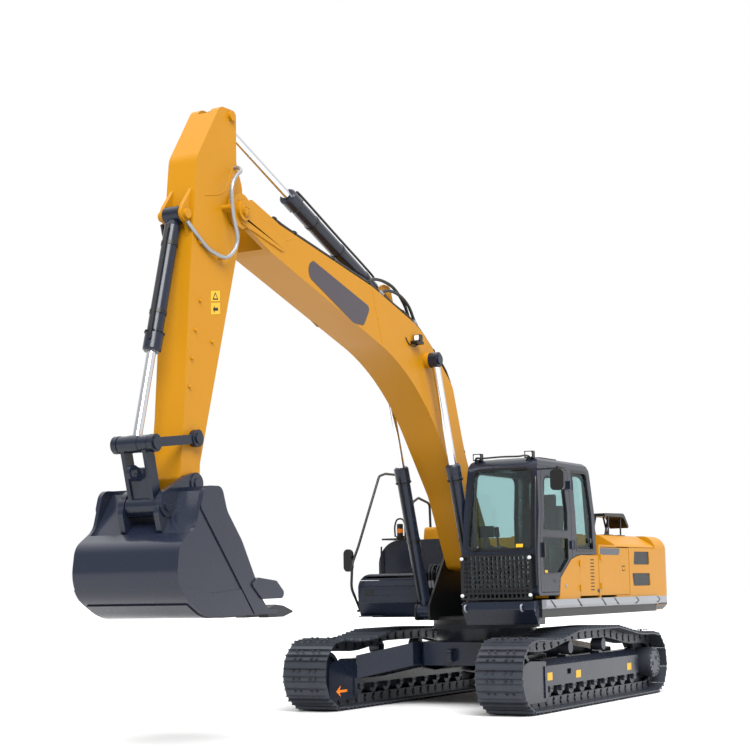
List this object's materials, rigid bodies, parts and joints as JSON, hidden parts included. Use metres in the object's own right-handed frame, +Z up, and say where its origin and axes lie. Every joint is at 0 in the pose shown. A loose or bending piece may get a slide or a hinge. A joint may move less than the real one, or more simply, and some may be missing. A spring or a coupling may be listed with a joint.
{
  "type": "crawler excavator",
  "caption": "Tracked hydraulic excavator with a turning house, glazed cab, cranked boom, arm, linkage and toothed bucket, all on working joints.",
  "frame": {"origin": "on the ground, on the slewing axis", "axes": "+X forward along the boom, +Y to the cab side (the machine's left), +Z up"},
  "size_m": [10.9351, 3.43, 6.3568],
  "materials": {
    "body_paint": "semi-gloss yellow-orange paint",
    "dark_paint": "semi-gloss charcoal paint",
    "silver_paint": "satin silver paint",
    "blue_grey_paint": "satin blue-grey paint",
    "track_steel": "worn dark steel",
    "chrome_rod": "polished",
    "glass": "tinted",
    "trim_plastic": "matt",
    "wear_steel": "dark wear steel",
    "seat_fabric": "woven",
    "cast_metal": "rough"
  },
  "bodies": {
    "undercarriage": {"carbody": "dark_paint", "slewing_ring": "cast_metal", "track_frame_l": "dark_paint", "track_l": "track_steel", "idler_l": "track_steel", "sprocket_l": "track_steel", "rollers_l": "track_steel", "track_frame_r": "dark_paint", "track_r": "track_steel", "idler_r": "track_steel", "sprocket_r": "track_steel", "rollers_r": "track_steel"},
    "house": {"beacon": "trim_plastic", "cab_glass": "glass", "cab_guard": "dark_paint", "cab_lamps": "trim_plastic", "cab_shell": "dark_paint", "control_consoles": "trim_plastic", "counterweight": "body_paint", "engine_block": "cast_metal", "engine_covers": "body_paint", "front_sill": "dark_paint", "fuel_tank": "dark_paint", "handrails": "dark_paint", "mirrors": "trim_plastic", "operator_seat": "seat_fabric", "raised_cover": "body_paint", "side_decks": "dark_paint", "side_skirts": "silver_paint", "tool_box": "dark_paint", "turning_frame": "dark_paint", "valve_block": "cast_metal"},
    "cab_door": {"cab_door": "dark_paint", "cab_door_glass": "glass"},
    "engine_hood": {"engine_hood": "body_paint", "hood_cowl": "dark_paint"},
    "side_door_front": {"side_door_front": "body_paint"},
    "side_door_rear": {"side_door_rear": "body_paint"},
    "side_door_right": {"side_door_right": "body_paint"},
    "tool_box_lid": {"tool_box_lid": "dark_paint"},
    "boom": {"boom": "body_paint"},
    "boom_barrel_l": {"boom_barrel_l": "dark_paint"},
    "boom_barrel_r": {"boom_barrel_r": "dark_paint"},
    "boom_rod_l": {"boom_rod_l": "chrome_rod"},
    "boom_rod_r": {"boom_rod_r": "chrome_rod"},
    "arm": {"arm": "body_paint"},
    "arm_barrel": {"arm_barrel": "dark_paint"},
    "arm_rod": {"arm_rod": "chrome_rod"},
    "bucket_barrel": {"bucket_barrel": "dark_paint"},
    "bucket_rod": {"bucket_rod": "chrome_rod"},
    "side_links": {"side_links": "dark_paint"},
    "h_link": {"h_link": "dark_paint"},
    "bucket": {"bucket": "blue_grey_paint", "bucket_teeth": "wear_steel"}
  },
  "joints": [
    {"name": "slewing", "type": "hinge", "parent": "undercarriage", "child": "house", "pos_m": [0, 0, 1], "axis": [0, 0, 1], "continuous": true},
    {"name": "boom_hinge", "type": "hinge", "parent": "house", "child": "boom", "pos_m": [0.45, 0, 1.85], "axis": [0, -1, 0], "range_deg": [-70, 35]},
    {"name": "arm_hinge", "type": "hinge", "parent": "boom", "child": "arm", "pos_m": [5.96991, 0, 5.28985], "axis": [0, -1, 0], "range_deg": [-53, 73]},
    {"name": "bucket_hinge", "type": "hinge", "parent": "arm", "child": "bucket", "pos_m": [6.77626, 0, 2.49068], "axis": [0, 1, 0], "range_deg": [-70, 90]},
    {"name": "side_link_hinge", "type": "hinge", "parent": "arm", "child": "side_links", "pos_m": [6.73626, 0, 2.92568], "axis": [0, 1, 0], "range_deg": [-44.3, 56.9]},
    {"name": "h_link_hinge", "type": "hinge", "parent": "bucket", "child": "h_link", "pos_m": [7.24626, 0, 2.26668], "axis": [0, 1, 0], "range_deg": [-54.2, 42.2]},
    {"name": "bucket_cylinder_hinge", "type": "hinge", "parent": "arm", "child": "bucket_barrel", "pos_m": [6.78991, 0, 5.11985], "axis": [0, 1, 0], "range_deg": [-4.75, 6.05]},
    {"name": "bucket_cylinder_slide", "type": "slide", "parent": "bucket_barrel", "child": "bucket_rod", "axis": [0.2581, 0, -0.9661], "range_m": [-0.492, 0.632]},
    {"name": "arm_cylinder_hinge", "type": "hinge", "parent": "boom", "child": "arm_barrel", "pos_m": [2.76991, 0, 4.92985], "axis": [0, -1, 0], "range_deg": [-4.44, 6.04]},
    {"name": "arm_cylinder_slide", "type": "slide", "parent": "arm_barrel", "child": "arm_rod", "axis": [0.9266, 0, 0.376], "range_m": [-1.0386, 0.7546]},
    {"name": "boom_cylinder_hinge_l", "type": "hinge", "parent": "house", "child": "boom_barrel_l", "pos_m": [1.01, 0.36, 1.18], "axis": [0, -1, 0], "range_deg": [-64.78, 32.49]},
    {"name": "boom_cylinder_slide_l", "type": "slide", "parent": "boom_barrel_l", "child": "boom_rod_l", "axis": [0.3115, 0, 0.9502], "range_m": [-0.9666, 0.4843]},
    {"name": "boom_cylinder_hinge_r", "type": "hinge", "parent": "house", "child": "boom_barrel_r", "pos_m": [1.01, -0.36, 1.18], "axis": [0, -1, 0], "range_deg": [-64.78, 32.49]},
    {"name": "boom_cylinder_slide_r", "type": "slide", "parent": "boom_barrel_r", "child": "boom_rod_r", "axis": [0.3115, 0, 0.9502], "range_m": [-0.9666, 0.4843]},
    {"name": "cab_door_hinge", "type": "hinge", "parent": "house", "child": "cab_door", "pos_m": [0.5, 1.4643, 2.1], "axis": [0, 0, 1], "range_deg": [0, 170]},
    {"name": "side_door_front_hinge", "type": "hinge", "parent": "house", "child": "side_door_front", "pos_m": [0.306, 1.4593, 1.6], "axis": [0, 0, 1], "range_deg": [-100, 0]},
    {"name": "side_door_rear_hinge", "type": "hinge", "parent": "house", "child": "side_door_rear", "pos_m": [-0.391, 1.4593, 1.6], "axis": [0, 0, 1], "range_deg": [-100, 0]},
    {"name": "side_door_right_hinge", "type": "hinge", "parent": "house", "child": "side_door_right", "pos_m": [-0.994, -1.4593, 1.6], "axis": [0, 0, 1], "range_deg": [0, 100]},
    {"name": "tool_box_lid_hinge", "type": "hinge", "parent": "house", "child": "tool_box_lid", "pos_m": [0.4707, 0, 1.573], "axis": [0, -1, 0], "range_deg": [0, 85]},
    {"name": "engine_hood_hinge", "type": "hinge", "parent": "house", "child": "engine_hood", "pos_m": [-0.986, 0, 2.1343], "axis": [0, 1, 0], "range_deg": [0, 50]}
  ],
  "couplings": [
    {"joint": "side_link_hinge", "follows": "bucket_hinge", "ratio": 0.63},
    {"joint": "h_link_hinge", "follows": "bucket_hinge", "ratio": -0.6},
    {"joint": "bucket_cylinder_hinge", "follows": "bucket_hinge", "ratio": 0.065},
    {"joint": "bucket_cylinder_slide", "follows": "bucket_hinge", "m_per_rad": 0.4011},
    {"joint": "arm_cylinder_hinge", "follows": "arm_hinge", "ratio": 0.08},
    {"joint": "arm_cylinder_slide", "follows": "arm_hinge", "m_per_rad": -0.8136},
    {"joint": "boom_cylinder_hinge_l", "follows": "boom_hinge", "ratio": 0.9226},
    {"joint": "boom_cylinder_slide_l", "follows": "boom_hinge", "m_per_rad": 0.7895},
    {"joint": "boom_cylinder_hinge_r", "follows": "boom_hinge", "ratio": 0.9226},
    {"joint": "boom_cylinder_slide_r", "follows": "boom_hinge", "m_per_rad": 0.7895}
  ]
}
